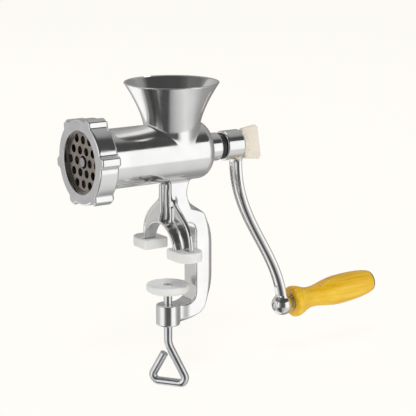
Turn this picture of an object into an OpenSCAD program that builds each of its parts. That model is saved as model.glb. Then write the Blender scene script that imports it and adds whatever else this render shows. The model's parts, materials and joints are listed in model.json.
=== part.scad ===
// Hand crank meat grinder that clamps to the edge of a table.
// Origin: on the clamp screw's axis, in the plane where the two table pads rest on the table top.
// +X runs back along the barrel towards the crank, -X is the outlet, +Z is up.

/* [Barrel] */
// Height of the barrel's axis above the table top
barrel_z = 74; // [72:0.5:78]
// Outside diameter of the barrel
barrel_d = 42.6; // [42:0.2:44]
// Bore that holds the feed screw
bore_d = 38; // [37:0.2:38.6]
// Outlet end of the barrel, where the ring nut's thread begins
mouth_x = -67.6; // [-69:0.2:-67]
// Rear wall of the barrel, on the crank's side
rear_x = 30.5; // [30:0.5:33]
// Diameter of the neck round the rear bearing
neck_d = 20.6; // [20:0.2:21]
// End of the neck
neck_x = 42; // [41:0.5:42.5]

/* [Hopper] */
// Distance of the hopper's axis behind the clamp screw's axis
hopper_x = 4; // [2:0.5:5]
// Diameter of the hopper's rim
hopper_rim_d = 69; // [66:0.5:72]
// Outside diameter of the hopper's throat
hopper_throat_d = 39.4; // [39:0.2:40]
// Height of the rim above the barrel's axis
hopper_h = 50.7; // [48:0.5:54]
// Wall of the hopper and its throat
hopper_wall = 2; // [1.8:0.1:2.4]

/* [Ring nut and plate] */
// Outside diameter of the ring nut between its lugs
ring_d = 60.4; // [60:0.2:62]
// Diameter across the tips of the lugs
ring_lug_d = 66.8; // [66:0.2:68]
// Length of the ring nut along the barrel
ring_w = 15.1; // [14.8:0.1:15.6]
// Clear opening of the ring nut
outlet_d = 45; // [44:0.5:46]
// Number of lugs on the ring nut
ring_lugs = 6; // [4:1:8]
// Thickness of the ring nut's front lip
ring_lip = 3.2; // [3:0.1:3.4]
// Diameter of the mincing plate
plate_d = 49.2; // [49:0.1:49.3]
// Thickness of the mincing plate
plate_t = 4.4; // [4.2:0.1:4.4]
// Diameter of the mincing holes
plate_hole_d = 6; // [4:0.5:6.5]
// Spacing of the mincing holes
plate_pitch = 9; // [8.6:0.1:9.1]

/* [Crank] */
// Radius of the crank, from the barrel's axis to the grip's spindle
crank_r = 129; // [120:1:135]
// How far the crank arm leans outwards along the barrel's axis
crank_out = 42; // [38:1:46]
// Width of the crank arm at the hub
arm_w = 12.6; // [12:0.2:13]
// Width of the crank arm at the ball
arm_tip_w = 10.4; // [10:0.2:11]
// Thickness of the crank arm
arm_t = 5.8; // [5.4:0.2:6]
// Diameter of the crank's hub
hub_d = 22; // [21:0.5:23]
// Diameter of the ball at the end of the arm
ball_d = 16.4; // [16:0.2:16.6]
// Upward tilt of the grip's spindle, in degrees
grip_tilt = 4.4; // [0:0.2:6]
// Length of the wooden grip
grip_l = 74.6; // [70:0.2:80]
// Largest diameter of the wooden grip's belly
grip_d = 22.7; // [21:0.1:24]

/* [Thumb screw] */
// Length of the wing along the screw's axis
wing_l = 14.6; // [13:0.2:16]
// Width of the wing at its outer end
wing_w = 25.4; // [24:0.2:27]
// Thickness of the wing
wing_t = 4.6; // [4:0.2:5]

/* [Clamp] */
// Half the distance between the two feet
foot_y = 26; // [25.5:0.5:26.5]
// Depth of the C frame's column, front to back
column_d = 15.7; // [15.2:0.1:16]
// Thickness of the C frame, side to side
frame_t = 16.8; // [16:0.2:18]
// Distance from the screw's axis to the column's inner face
throat_x = 19.3; // [19:0.1:20]
// Height of the table pads
pad_h = 7.3; // [7:0.1:8]
// Gap between the table pads and the clamp disc
clamp_gap = 23.3; // [22.8:0.1:23.5]
// Diameter of the clamp disc
disc_d = 31.4; // [30:0.2:32]
// Thickness of the clamp disc
disc_t = 6; // [5.8:0.1:6.2]
// Diameter of the clamp screw's rod
screw_d = 6.4; // [6:0.1:6.4]
// Width of the clamp screw's triangular handle
handle_w = 31.4; // [28:0.2:32]

/* [Hidden] */
$fn = 64;
eps = 0.01;
running = 0.06;              // radial clearance of a running fit

barrel_r = barrel_d / 2;
bore_r = bore_d / 2;
shoulder_r = 8;              // rounding of the barrel's rear shoulder
bore_end_x = rear_x - 3.2;   // inner face of the rear wall
seat_x = mouth_x + 8.1;      // depth of the mouth that takes the plate and the blade
seat_r = 24.8;
collar_r = 26.8;             // outside of the ring nut's thread on the barrel
collar_rear_x = mouth_x + 10.1;

ring_x = mouth_x - 0.8 - ring_lip;
ring_thread_r = collar_r + running;
plate_x = ring_x + ring_lip;
blade_x = plate_x + plate_t + 0.2;
blade_t = 3.9;
screw_front_x = blade_x + blade_t + 0.15;
plate_pin_r = 3.3;
blade_square = 9;
key_w = 4;
key_r = 22.6;                // the key's inner face, from the barrel's axis
key_top_r = 25.6;

journal_r = 7;
bush_r = 8.6;
bush_flange_r = 9.6;
bush_flange_x = neck_x + 3.6;
hub_x = bush_flange_x + 0.6;
hub_rear_x = hub_x + 15;
drive_square = 10;
stud_r = 3;
groove_w = 4.8;              // groove down the front of the arm
washer_t = 1.2;
thumb_x = hub_rear_x + washer_t + 0.15;
wing_x = thumb_x + 1.9;
wing_turn = -11;             // resting angle of the wing about the screw's axis

ball_x = 60 + crank_out;
ball_z = barrel_z - crank_r;
spindle_r = 3;
ball_s = 0.6;                // the ball's centre sits this far along the spindle
spindle_end_s = ball_s - ball_d / 2 + 1.2;
washer_s = 7.9;              // stations along the spindle, from the ball's centre
grip_s = 9.1;
flange_r = 11.9;
waist_r = 8;

frame_front_x = -2.4;        // front of the web
column_rear_x = throat_x + column_d;
wing_front_x = -1.4;         // the plate that spreads into the two legs
wing_rear_x = 1.8;
flange_front_x = -8;         // front edge of the flange round the arch
foot_z = 3.4;                // underside of the feet, inside the pads
arch_r = 20;
arch_z = 2.7;
flange_t = 2.2;
fin_t = 3.4;
arm_half = 6.4;              // half thickness of the lower arm where it meets the boss
boss_r = 8.7;
boss_top_z = -38.8;
boss_low_z = -54.3;
disc_top_z = -clamp_gap;
disc_low_z = disc_top_z - disc_t;
screw_r = screw_d / 2 - 0.1;
tip_r = 1.9;                 // the screw's end, which turns in the disc
handle_turn = -54;           // resting angle of the handle about the screw's axis
handle_low_z = -98.2;
handle_bend_z = -69;

// Points of a cubic Bezier curve from a to d.
function bezier(a, b, c, d, n) = [for (i = [0:n]) let (t = i / n)
    pow(1 - t, 3) * a + 3 * pow(1 - t, 2) * t * b + 3 * (1 - t) * t * t * c + pow(t, 3) * d];

function unit(v) = v / norm(v);
function left_of(v) = [-v[1], v[0]];

// Offsets an open line of points sideways, to the left of its direction.
function beside(line, by) = [for (i = [0:len(line) - 1])
    let (a = line[max(i - 1, 0)], b = line[min(i + 1, len(line) - 1)])
    line[i] + by * left_of(unit(b - a))];

function reversed(line) = [for (i = [len(line) - 1:-1:0]) line[i]];

// Turns +Z into +X, so that a lathe shape lies along the barrel.
module along_x() { rotate([0, 90, 0]) children(); }

// Cylinder along X on the barrel's axis, from x0 to x1.
module bar_x(x0, x1, r) { translate([x0, 0, barrel_z]) along_x() cylinder(h = x1 - x0, r = r); }

// Extrudes an outline drawn in X and Z to a thickness centred on Y.
module plate_xz(t) {
    translate([0, t / 2, 0]) rotate([90, 0, 0]) linear_extrude(t) children();
}

// Extrudes an outline drawn in Y and Z from x0 to x1.
module plate_yz(x0, x1) {
    translate([x0, 0, 0]) rotate([90, 0, 90]) linear_extrude(x1 - x0) children();
}

// Box from one corner to the opposite one.
module block(low, high) { translate(low) cube(high - low); }

// ---- Cast body: barrel, hopper, legs and C frame in one casting ----

module barrel_outside() {
    translate([0, 0, barrel_z]) along_x() rotate_extrude($fn = 96) {
        translate([0, collar_rear_x - 1]) square([barrel_r, rear_x - shoulder_r - collar_rear_x + 1]);
        translate([0, rear_x - shoulder_r - eps]) square([barrel_r - shoulder_r, shoulder_r + eps]);
        translate([barrel_r - shoulder_r, rear_x - shoulder_r]) circle(shoulder_r);
    }
    bar_x(mouth_x, collar_rear_x, collar_r);
    bar_x(rear_x - 2, neck_x, neck_d / 2);
}

// Radius of the hopper's outside at a height above the barrel's axis.
flare_z = 15;
function hopper_r(h) = hopper_throat_d / 2
    + (hopper_rim_d - hopper_throat_d) / 2 * pow(max(h - flare_z, 0) / (hopper_h - flare_z), 1.6);

hopper_steps = 14;
hopper_outline = [for (i = [0:hopper_steps])
    let (h = flare_z + (hopper_h - flare_z) * i / hopper_steps) [hopper_r(h), h]];

module hopper_outside() {
    translate([hopper_x, 0, barrel_z]) rotate_extrude($fn = 96)
        polygon(concat([[0, 2]], [[hopper_throat_d / 2, 2]], hopper_outline, [[0, hopper_h]]));
}

module hopper_inside() {
    translate([hopper_x, 0, barrel_z]) rotate_extrude($fn = 96)
        polygon(concat([[0, 0], [hopper_throat_d / 2 - hopper_wall, 0]],
            [for (p = hopper_outline) p - [hopper_wall, 0]],
            [[hopper_rim_d / 2 - hopper_wall, hopper_h + 1], [0, hopper_h + 1]]));
}

// Side outline of the web, the column and the lower arm.
frame_outline = concat(
    bezier([20, 58], [6, 45], [12, 38.5], [21, 32.6], 8),
    bezier([21, 32.6], [29.6, 26.6], [column_rear_x, 18], [column_rear_x, 4], 8),
    bezier([column_rear_x, -18], [column_rear_x, -41], [22, -53.4], [2, boss_low_z + 0.8], 12),
    [[0, boss_top_z - 0.8]],
    bezier([10, boss_top_z - 0.3], [16.5, boss_top_z], [throat_x, -36.5], [throat_x, -29], 7),
    bezier([throat_x, 14.5], [throat_x, 19], [17, 21.8], [12.5, 21.8], 6),
    [[frame_front_x, 22.9], [frame_front_x, 58]]);

// The C frame, with its lower arm narrowing towards the boss.
module c_frame() {
    half = frame_t / 2;
    difference() {
        plate_xz(frame_t) polygon(frame_outline);
        for (side = [-1, 1]) scale([1, side, 1]) translate([0, 0, boss_low_z - 1])
            linear_extrude(boss_top_z - boss_low_z + 4)
                polygon([[-10, arm_half], [6, arm_half], [16, half + 0.05], [16, half + 3], [-10, half + 3]]);
    }
}

// One leg's outer edge, from the web down to the foot.
leg_edge = bezier([8.2, 47], [8.2, 33], [35, 31.5], [33, 6], 14);

module leg_outline() {
    difference() {
        polygon(concat([[0, 47]], leg_edge, [[33, foot_z], [-33, foot_z]],
            [for (p = reversed(leg_edge)) [-p[0], p[1]]]));
        translate([0, arch_z]) circle(arch_r, $fn = 96);
    }
}

module arch_outline() {
    intersection() {
        difference() {
            translate([0, arch_z]) circle(arch_r + flange_t, $fn = 96);
            translate([0, arch_z]) circle(arch_r, $fn = 96);
        }
        translate([-30, foot_z]) square([60, 30]);
    }
}

module legs() {
    plate_yz(wing_front_x, wing_rear_x) leg_outline();
    plate_yz(flange_front_x, wing_front_x + eps) arch_outline();
}

// Thin fin down the front of the web, from the barrel to the arch's flange.
module front_fin() {
    plate_xz(fin_t) polygon([[-6.3, 56], [-6.3, 31], [flange_front_x, arch_z + arch_r + flange_t + 1.5],
        [flange_front_x, arch_z + arch_r + 1], [0, arch_z + arch_r + 1], [0, 56]]);
}

module cast_body() {
    color("gainsboro") difference() {
        union() {
            barrel_outside();
            hopper_outside();
            c_frame();
            legs();
            front_fin();
            translate([0, 0, boss_low_z]) cylinder(h = boss_top_z - boss_low_z, r = boss_r);
        }
        hopper_inside();
        bar_x(mouth_x - 1, seat_x, seat_r);
        bar_x(seat_x - 1, bore_end_x, bore_r);
        bar_x(bore_end_x - 1, neck_x + 1, bush_r);
        block([mouth_x - 1, -key_w / 2, barrel_z + key_r], [seat_x - 2, key_w / 2, barrel_z + key_top_r]);
        translate([0, 0, boss_low_z - 1]) cylinder(h = 20, r = screw_r + running);
    }
}

// ---- Pieces fixed to the casting ----

module rear_bush() {
    color("dimgray") difference() {
        union() {
            bar_x(bore_end_x, neck_x, bush_r);
            bar_x(neck_x, bush_flange_x, bush_flange_r);
        }
        bar_x(bore_end_x - 1, bush_flange_x + 1, journal_r + running);
    }
}

module plate_key() {
    color("silver") block([mouth_x, -key_w / 2, barrel_z + key_r],
        [seat_x - 2, key_w / 2, barrel_z + key_top_r]);
}

// Plastic cap under a foot, seen from above: nearly square inside, half round outside.
pad_x0 = -10.6;
pad_x1 = 9.8;
pad_y0 = foot_y - 12.2;
pad_y1 = foot_y + 12;
pad_outer_r = 9.8;
pad_inner_r = 3;
pocket_gap = 0.1;

module pad_outline() {
    for (x = [pad_x0 + pad_inner_r, pad_x1 - pad_inner_r])
        translate([x, pad_y0 + pad_inner_r]) circle(pad_inner_r);
    for (x = [pad_x0 + pad_outer_r, pad_x1 - pad_outer_r])
        translate([x, pad_y1 - pad_outer_r]) circle(pad_outer_r);
    translate([pad_x0, pad_y0 + pad_inner_r])
        square([pad_x1 - pad_x0, pad_y1 - pad_outer_r - pad_y0 - pad_inner_r]);
    translate([pad_x0 + pad_inner_r, pad_y0]) square([pad_x1 - pad_x0 - 2 * pad_inner_r, pad_inner_r]);
    translate([pad_x0 + pad_outer_r, pad_y1 - pad_outer_r])
        square([pad_x1 - pad_x0 - 2 * pad_outer_r, pad_outer_r]);
}

// The L-shaped pocket takes the end of the arch's flange and the foot of the wing.
module table_pad(side) {
    color("whitesmoke") mirror([0, side < 0 ? 1 : 0, 0]) difference() {
        linear_extrude(pad_h) pad_outline();
        block([flange_front_x - pocket_gap, arch_r - 0.8, foot_z],
            [wing_rear_x + pocket_gap, arch_r + flange_t + pocket_gap, pad_h + 1]);
        block([wing_front_x - pocket_gap, arch_r, foot_z],
            [wing_rear_x + pocket_gap, 33 + pocket_gap, pad_h + 1]);
    }
}

module near_table_pad() { table_pad(-1); }
module far_table_pad() { table_pad(1); }

// ---- Feed screw, blade and plate ----

flight_r = bore_r - 0.8;
flight_pitch = 25;
flight_x0 = screw_front_x + 2;
flight_x1 = bore_end_x - 3.5;
flight_angle = 62;           // share of the turn that the flight's rib fills

module flight() {
    turns = (flight_x1 - flight_x0) / flight_pitch;
    translate([flight_x0, 0, barrel_z]) along_x()
        linear_extrude(flight_x1 - flight_x0, twist = -360 * turns, slices = ceil(turns * 12))
            polygon(concat([for (a = [0:flight_angle / 3:flight_angle + eps]) flight_r * [cos(a), sin(a)]],
                [[5 * cos(flight_angle), 5 * sin(flight_angle)], [5, 0]]));
}

module feed_screw() {
    journal_x = bore_end_x - 1.35;
    color("silver") difference() {
        union() {
            flight();
            bar_x(screw_front_x, journal_x - 3, 8);
            bar_x(journal_x - 4, journal_x, bore_r - 0.4);
            bar_x(journal_x - 1, hub_x - 0.2, journal_r);
            block([blade_x, -blade_square / 2, barrel_z - blade_square / 2],
                [screw_front_x + 1, blade_square / 2, barrel_z + blade_square / 2]);
            block([hub_x - 0.3, -drive_square / 2, barrel_z - drive_square / 2],
                [hub_rear_x - 0.8, drive_square / 2, barrel_z + drive_square / 2]);
        }
        bar_x(blade_x - 1, screw_front_x + 14, plate_pin_r);
        bar_x(hub_rear_x - 18, hub_rear_x, stud_r + running);
    }
}

module cutter_pin() {
    color("gray") bar_x(plate_x - 1, screw_front_x + 14, plate_pin_r);
}

module cutter_blade() {
    gap = 0.1;
    color("gray") difference() {
        union() {
            bar_x(blade_x, blade_x + blade_t, 9);
            for (a = [0:90:270]) translate([blade_x, 0, barrel_z]) rotate([a, 0, 0])
                block([0, -3.4, 0], [blade_t, 3.4, 21.6]);
        }
        block([blade_x - 1, -blade_square / 2 - gap, barrel_z - blade_square / 2 - gap],
            [blade_x + blade_t + 1, blade_square / 2 + gap, barrel_z + blade_square / 2 + gap]);
    }
}

module thrust_washer() {
    color("whitesmoke") difference() {
        bar_x(bore_end_x - 1.3, bore_end_x - 0.1, 15);
        bar_x(bore_end_x - 2, bore_end_x + 1, journal_r + 0.2);
    }
}

// Rows of holes on a triangular grid, with the middle one left out.
module hole_plate() {
    rows = [3, 4, 5, 4, 3];
    color("gray") difference() {
        bar_x(plate_x, plate_x + plate_t, plate_d / 2);
        for (r = [0:4], i = [0:rows[r] - 1])
            if (!(r == 2 && i == 2))
                translate([plate_x - 1, (i - (rows[r] - 1) / 2) * plate_pitch,
                        barrel_z + (2 - r) * plate_pitch * sqrt(3) / 2])
                    along_x() cylinder(h = plate_t + 2, r = plate_hole_d / 2, $fn = 32);
        bar_x(plate_x - 1, plate_x + plate_t + 1, 4.6);
        difference() {
            bar_x(plate_x - 1, plate_x + 0.8, 20.9);
            bar_x(plate_x - 2, plate_x + 2, 20.1);
        }
        block([plate_x - 1, -key_w / 2 - 0.3, barrel_z + key_r - 0.5],
            [plate_x + plate_t + 1, key_w / 2 + 0.3, barrel_z + plate_d]);
    }
}

module ring_nut() {
    root_r = ring_d / 2 - 1;
    color("lightgray") difference() {
        union() {
            bar_x(ring_x, ring_x + ring_w, ring_d / 2);
            for (k = [0:ring_lugs - 1])
                translate([ring_x, 0, barrel_z]) along_x() rotate([0, 0, 22 + k * 360 / ring_lugs])
                    linear_extrude(ring_w) polygon([[root_r, -4.8], [ring_lug_d / 2, -2.5],
                        [ring_lug_d / 2, 2.5], [root_r, 4.8]]);
        }
        bar_x(ring_x - 1, ring_x + ring_lip + 1, outlet_d / 2);
        bar_x(ring_x + ring_lip, ring_x + ring_w + 1, ring_thread_r);
    }
}

// ---- Crank ----

arm_line = bezier([59.3, barrel_z], [51.5, barrel_z - 56.3], [ball_x - 4.2, barrel_z - 80.5],
    [ball_x, ball_z], 28);

// Upright band that tapers from w0 at the hub to w1 at the ball and limits the arm's width.
module arm_taper(w0, w1, top, low) {
    plate_yz(30, ball_x + 20) polygon([[-w0 / 2, top], [w0 / 2, top], [w1 / 2, low], [-w1 / 2, low]]);
}

// The spindle's frame: origin in the ball, +Z along the grip.
module on_spindle() { translate([ball_x, 0, ball_z]) rotate([0, 90 - grip_tilt, 0]) children(); }

module crank_arm() {
    hole = drive_square / 2 + 0.1;
    color("silver") difference() {
        union() {
            bar_x(hub_x, hub_rear_x, hub_d / 2);
            intersection() {
                plate_xz(20) polygon(concat(beside(arm_line, -arm_t / 2),
                    reversed(beside(arm_line, arm_t / 2))));
                arm_taper(arm_w, arm_tip_w, barrel_z + 1, ball_z - 1);
                block([hub_x - 4, -hub_d, ball_z - 5], [ball_x + 10, hub_d, barrel_z - hub_d / 2 + 2]);
            }
            on_spindle() translate([0, 0, ball_s]) sphere(r = ball_d / 2);
            on_spindle() cylinder(h = washer_s, r = 5.5);
        }
        // groove down the front of the arm
        intersection() {
            plate_xz(20) polygon(concat(beside(arm_line, -arm_t / 2 - 2),
                reversed(beside(arm_line, -arm_t / 2 + 1.1))));
            arm_taper(groove_w, groove_w, barrel_z - 16, ball_z + 15);
        }
        block([hub_x - 1, -hole, barrel_z - hole], [hub_rear_x + 1, hole, barrel_z + hole]);
        on_spindle() translate([0, 0, -ball_d]) cylinder(h = 2 * ball_d, r = spindle_r);
        on_spindle() translate([0, 0, washer_s]) cylinder(h = ball_d, r = ball_d);
    }
}

module handle_spindle() {
    head_s = grip_s + grip_l - 6;
    color("silver") on_spindle() {
        translate([0, 0, spindle_end_s]) cylinder(h = head_s + 1 - spindle_end_s, r = spindle_r);
        translate([0, 0, head_s]) cylinder(h = 2, r = 5);
    }
}

module spindle_washer() {
    color("silver") on_spindle() translate([0, 0, washer_s]) difference() {
        cylinder(h = 1, r = 5.8);
        translate([0, 0, -1]) cylinder(h = 3, r = spindle_r);
    }
}

// Half outline of the turned grip: flange, waist and belly.
grip_belly = grip_d / 2;
grip_outline = concat(
    bezier([flange_r - 1.4, 0], [flange_r - 0.2, 0], [flange_r, 0.8], [flange_r, 2], 4),
    bezier([flange_r, 3], [flange_r, 7], [waist_r, 11], [waist_r, 17.5], 6),
    bezier([waist_r, 20], [waist_r + 0.2, 26], [grip_belly, 34], [grip_belly, 45], 7),
    bezier([grip_belly, 47], [grip_belly, 59], [grip_belly - 1, grip_l - 5], [8.5, grip_l], 8));

module wooden_grip() {
    head_s = grip_l - 6.2;
    color("goldenrod") on_spindle() translate([0, 0, grip_s]) difference() {
        rotate_extrude($fn = 64) polygon(concat([[0, 0]], grip_outline, [[0, grip_l]]));
        translate([0, 0, -1]) cylinder(h = grip_l, r = spindle_r + running);
        translate([0, 0, head_s]) cylinder(h = 10, r = 5.3);
    }
}

module grip_end_cap() {
    color("darkslategray") on_spindle() translate([0, 0, grip_s + grip_l]) {
        translate([0, 0, -3]) cylinder(h = 3, r = 5.3);
        cylinder(h = 1.7, r1 = 8.3, r2 = 7.5);
    }
}

// ---- Thumb screw that holds the crank on ----

module hub_washer() {
    color("silver") difference() {
        bar_x(hub_rear_x + 0.05, hub_rear_x + 0.05 + washer_t, 8.6);
        bar_x(hub_rear_x - 1, hub_rear_x + 3, stud_r + 0.3);
    }
}

module thumb_screw_stud() {
    color("silver") bar_x(hub_rear_x - 14, thumb_x + 7, stud_r);
}

module thumb_screw_head() {
    inner_w = wing_w - 3;
    half = wing_w / 2;
    color("ivory") difference() {
        union() {
            bar_x(thumb_x, wing_x + 3, 6.4);
            translate([0, 0, barrel_z]) rotate([wing_turn, 0, 0]) plate_xz(wing_t)
                polygon([[wing_x, -inner_w / 2 + 1], [wing_x + 1, -inner_w / 2],
                    [wing_x + wing_l - 2, -half], [wing_x + wing_l, -half + 2],
                    [wing_x + wing_l, half - 2], [wing_x + wing_l - 2, half],
                    [wing_x + 1, inner_w / 2], [wing_x, inner_w / 2 - 1]]);
        }
        bar_x(thumb_x - 1, thumb_x + 7, stud_r);
    }
}

// ---- Clamp screw ----

wire_r = screw_r - 0.1;
wire_sides = 16;
bend_steps = 6;

// Rounds the corner b between a and c with an arc of radius r.
function corner(a, b, c, r) =
    let (u = unit(a - b), v = unit(c - b), half = acos(u * v) / 2, centre = b + unit(u + v) * r / sin(half),
        start = b + u * r / tan(half) - centre, end = b + v * r / tan(half) - centre,
        a0 = atan2(start[1], start[0]), turn = atan2(end[1], end[0]) - a0,
        sweep = turn > 180 ? turn - 360 : turn < -180 ? turn + 360 : turn)
    [for (i = [0:bend_steps]) let (t = a0 + sweep * i / bend_steps) centre + r * [cos(t), sin(t)]];

// Centre line of the bent handle, across the triangle and up.
handle_a = [0, handle_bend_z + 8];
handle_b = [0, handle_bend_z];
handle_c = [handle_w / 2 + 0.6, handle_low_z];
handle_d = [-handle_w / 2 + 0.6, handle_low_z];
handle_e = [-3, handle_bend_z - 7.3];
handle_line = concat([handle_a], corner(handle_a, handle_b, handle_c, 14),
    corner(handle_b, handle_c, handle_d, 4.4), corner(handle_c, handle_d, handle_e, 4.4), [handle_e]);

// Tube along a flat line of points.
module tube(line, r) {
    n = len(line);
    rings = [for (i = [0:n - 1]) let (side = left_of(unit(line[min(i + 1, n - 1)] - line[max(i - 1, 0)])))
        for (k = [0:wire_sides - 1]) let (a = 360 * k / wire_sides)
            [line[i][0] + r * cos(a) * side[0], r * sin(a), line[i][1] + r * cos(a) * side[1]]];
    walls = [for (i = [0:n - 2], k = [0:wire_sides - 1]) let (j = (k + 1) % wire_sides, o = i * wire_sides)
        [o + j, o + wire_sides + j, o + wire_sides + k, o + k]];
    caps = [[for (k = [wire_sides - 1:-1:0]) k],
        [for (k = [0:wire_sides - 1]) (n - 1) * wire_sides + k]];
    polyhedron(concat([for (p = rings) p]), concat(walls, caps));
}

module clamp_screw() {
    color("silver") {
        translate([0, 0, handle_bend_z + 6]) cylinder(h = disc_low_z - 0.15 - handle_bend_z - 6, r = screw_r);
        translate([0, 0, disc_low_z - 1]) cylinder(h = disc_t - dimple_depth + 1.9, r = tip_r);
        rotate([0, 0, handle_turn]) tube(handle_line, wire_r);
    }
}

dimple_depth = 1.6;
dimple_r = 3.4;

module clamp_disc() {
    rim = disc_d / 2;
    color("whitesmoke") translate([0, 0, disc_low_z]) difference() {
        rotate_extrude($fn = 96) polygon([[0, 0], [rim - 1.6, 0], [rim, 1.6], [rim, disc_t - 1.4],
            [rim - 1.4, disc_t], [0, disc_t]]);
        translate([0, 0, -1]) cylinder(h = disc_t + 2, r = tip_r + running);
        translate([0, 0, disc_t - dimple_depth]) cylinder(h = 3, r = dimple_r);
    }
}

module disc_retainer() {
    color("silver") translate([0, 0, disc_top_z - dimple_depth + 0.15]) difference() {
        cylinder(h = 0.9, r = 3);
        translate([0, 0, -1]) cylinder(h = 3, r = tip_r);
    }
}

cast_body();
rear_bush();
plate_key();
near_table_pad();
far_table_pad();
feed_screw();
cutter_pin();
cutter_blade();
thrust_washer();
hole_plate();
ring_nut();
crank_arm();
hub_washer();
thumb_screw_stud();
thumb_screw_head();
handle_spindle();
spindle_washer();
wooden_grip();
grip_end_cap();
clamp_screw();
clamp_disc();
disc_retainer();
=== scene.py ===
import json
from math import atan2, cos, pi, radians, sin

import bmesh
import bpy
import numpy as np
from mathutils import Matrix, Vector


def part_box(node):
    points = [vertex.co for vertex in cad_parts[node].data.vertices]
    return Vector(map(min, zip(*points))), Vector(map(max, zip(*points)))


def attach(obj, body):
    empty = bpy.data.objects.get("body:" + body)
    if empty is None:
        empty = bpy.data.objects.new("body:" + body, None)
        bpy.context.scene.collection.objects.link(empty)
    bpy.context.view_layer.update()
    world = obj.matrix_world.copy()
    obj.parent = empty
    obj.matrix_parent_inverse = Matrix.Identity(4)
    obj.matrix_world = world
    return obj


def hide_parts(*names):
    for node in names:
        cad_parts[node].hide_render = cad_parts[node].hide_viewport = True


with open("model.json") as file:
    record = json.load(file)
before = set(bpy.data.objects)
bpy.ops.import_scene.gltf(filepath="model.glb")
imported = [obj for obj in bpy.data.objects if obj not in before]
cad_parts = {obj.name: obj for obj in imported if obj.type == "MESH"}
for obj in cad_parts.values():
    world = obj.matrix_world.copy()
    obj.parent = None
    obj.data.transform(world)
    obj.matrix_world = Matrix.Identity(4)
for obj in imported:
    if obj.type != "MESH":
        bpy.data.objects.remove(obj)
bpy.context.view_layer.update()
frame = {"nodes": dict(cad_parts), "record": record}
MM = 0.001

# ---------------------------------------------------------------- sizes from the frame


def box_mm(node):
    """Lowest and highest corner of a CAD node, in millimetres."""
    low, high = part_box(node)
    return np.array(low) / MM, np.array(high) / MM


joints = {j["name"]: j for j in frame["record"]["behaviour"]["joints"]}
barrel_z = joints["crank_turn"]["pos_m"][2] / MM
ball = np.array(joints["grip_spin"]["pos_m"]) / MM
spindle_dir = np.array(joints["grip_spin"]["axis"])

casting_low, casting_high = box_mm("cast_body")
hopper_r = (casting_high[1] - casting_low[1]) / 2
hopper_x = 4.0
rim_z = casting_high[2]
mouth_x = casting_low[0]
neck_x = casting_high[0]
boss_low_z = casting_low[2]
ring_low, ring_high = box_mm("ring_nut")
pad_low, pad_high = box_mm("near_table_pad")
disc_low, disc_high = box_mm("clamp_disc")
screw_low, _ = box_mm("clamp_screw")

# ---------------------------------------------------------------- curves and fields


def bezier(a, b, c, d, steps):
    """Points of a cubic Bezier curve from a to d."""
    t = np.linspace(0, 1, steps + 1)[:, None]
    a, b, c, d = (np.array(p, float) for p in (a, b, c, d))
    return (1 - t) ** 3 * a + 3 * (1 - t) ** 2 * t * b + 3 * (1 - t) * t * t * c + t ** 3 * d


def joined(*runs):
    """Joins runs of points into one outline."""
    return np.vstack([np.atleast_2d(r) for r in runs])


def filleted(points, radii, steps=5):
    """Rounds the corners of an open profile: one radius a point, 0 for a sharp one."""
    out = []
    for i, (p, r) in enumerate(zip(points, radii)):
        p = Vector(p)
        if r == 0 or i in (0, len(points) - 1):
            out.append(p)
            continue
        u = (Vector(points[i - 1]) - p)
        v = (Vector(points[i + 1]) - p)
        r = min(r, u.length * 0.49, v.length * 0.49)
        u, v = u.normalized() * r, v.normalized() * r
        for k in range(steps + 1):
            t = k / steps
            out.append(p + u * (1 - t) ** 2 + v * t * t)
    return out


def to_polygon(x, y, outline):
    """Signed distance from points to a closed outline, negative inside."""
    near = np.full(x.shape, 1e18)
    inside = np.zeros(x.shape, bool)
    for (ax, ay), (bx, by) in zip(outline, np.roll(outline, -1, axis=0)):
        ex, ey = bx - ax, by - ay
        px, py = x - ax, y - ay
        t = np.clip((px * ex + py * ey) / (ex * ex + ey * ey + 1e-12), 0, 1)
        near = np.minimum(near, (px - t * ex) ** 2 + (py - t * ey) ** 2)
        if ey != 0:
            inside ^= ((ay > y) != (by > y)) & (x < ax + ex * (y - ay) / ey)
    return np.where(inside, -1, 1) * np.sqrt(near)


def blend(a, b, k):
    """Union of two fields with a fillet of about k."""
    h = np.clip(0.5 + 0.5 * (b - a) / k, 0, 1)
    return b * (1 - h) + a * h - k * h * (1 - h)


def cut(a, b, k):
    """Field a with b taken away, with an edge rounded by about k."""
    return -blend(-a, b, k)


def prism(flat, across, half, r):
    """A flat outline's field carried to a thickness, with its edges rounded by r."""
    a, b = flat + r, np.abs(across) - half + r
    return np.minimum(np.maximum(a, b), 0) + np.hypot(np.maximum(a, 0), np.maximum(b, 0)) - r


# ---------------------------------------------------------------- objects


def new_object(name, verts, faces, body, smooth=True):
    """A mesh object in metres from millimetre points, riding on its body."""
    mesh = bpy.data.meshes.new(name)
    mesh.from_pydata([tuple(np.array(v) * MM) for v in verts], [], faces)
    obj = bpy.data.objects.new(name, mesh)
    bpy.context.scene.collection.objects.link(obj)
    finish_mesh(obj, smooth)
    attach(obj, body)
    return obj


def finish_mesh(obj, smooth=True):
    """Merges doubles, points the faces outwards and shades them."""
    bm = bmesh.new()
    bm.from_mesh(obj.data)
    bmesh.ops.remove_doubles(bm, verts=bm.verts, dist=1e-7)
    bmesh.ops.recalc_face_normals(bm, faces=bm.faces)
    bm.to_mesh(obj.data)
    bm.free()
    for face in obj.data.polygons:
        face.use_smooth = smooth


def even_normals(obj):
    """Keeps flat faces flat beside their rounded edges."""
    mod = obj.modifiers.new("even", "WEIGHTED_NORMAL")
    mod.mode = "FACE_AREA"
    mod.keep_sharp = True


def axis_frame(origin, direction):
    """Matrix that takes +Z to a direction and the origin to a point."""
    turn = Vector((0, 0, 1)).rotation_difference(Vector(direction)).to_matrix().to_4x4()
    return Matrix.Translation(Vector(origin)) @ turn


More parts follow.
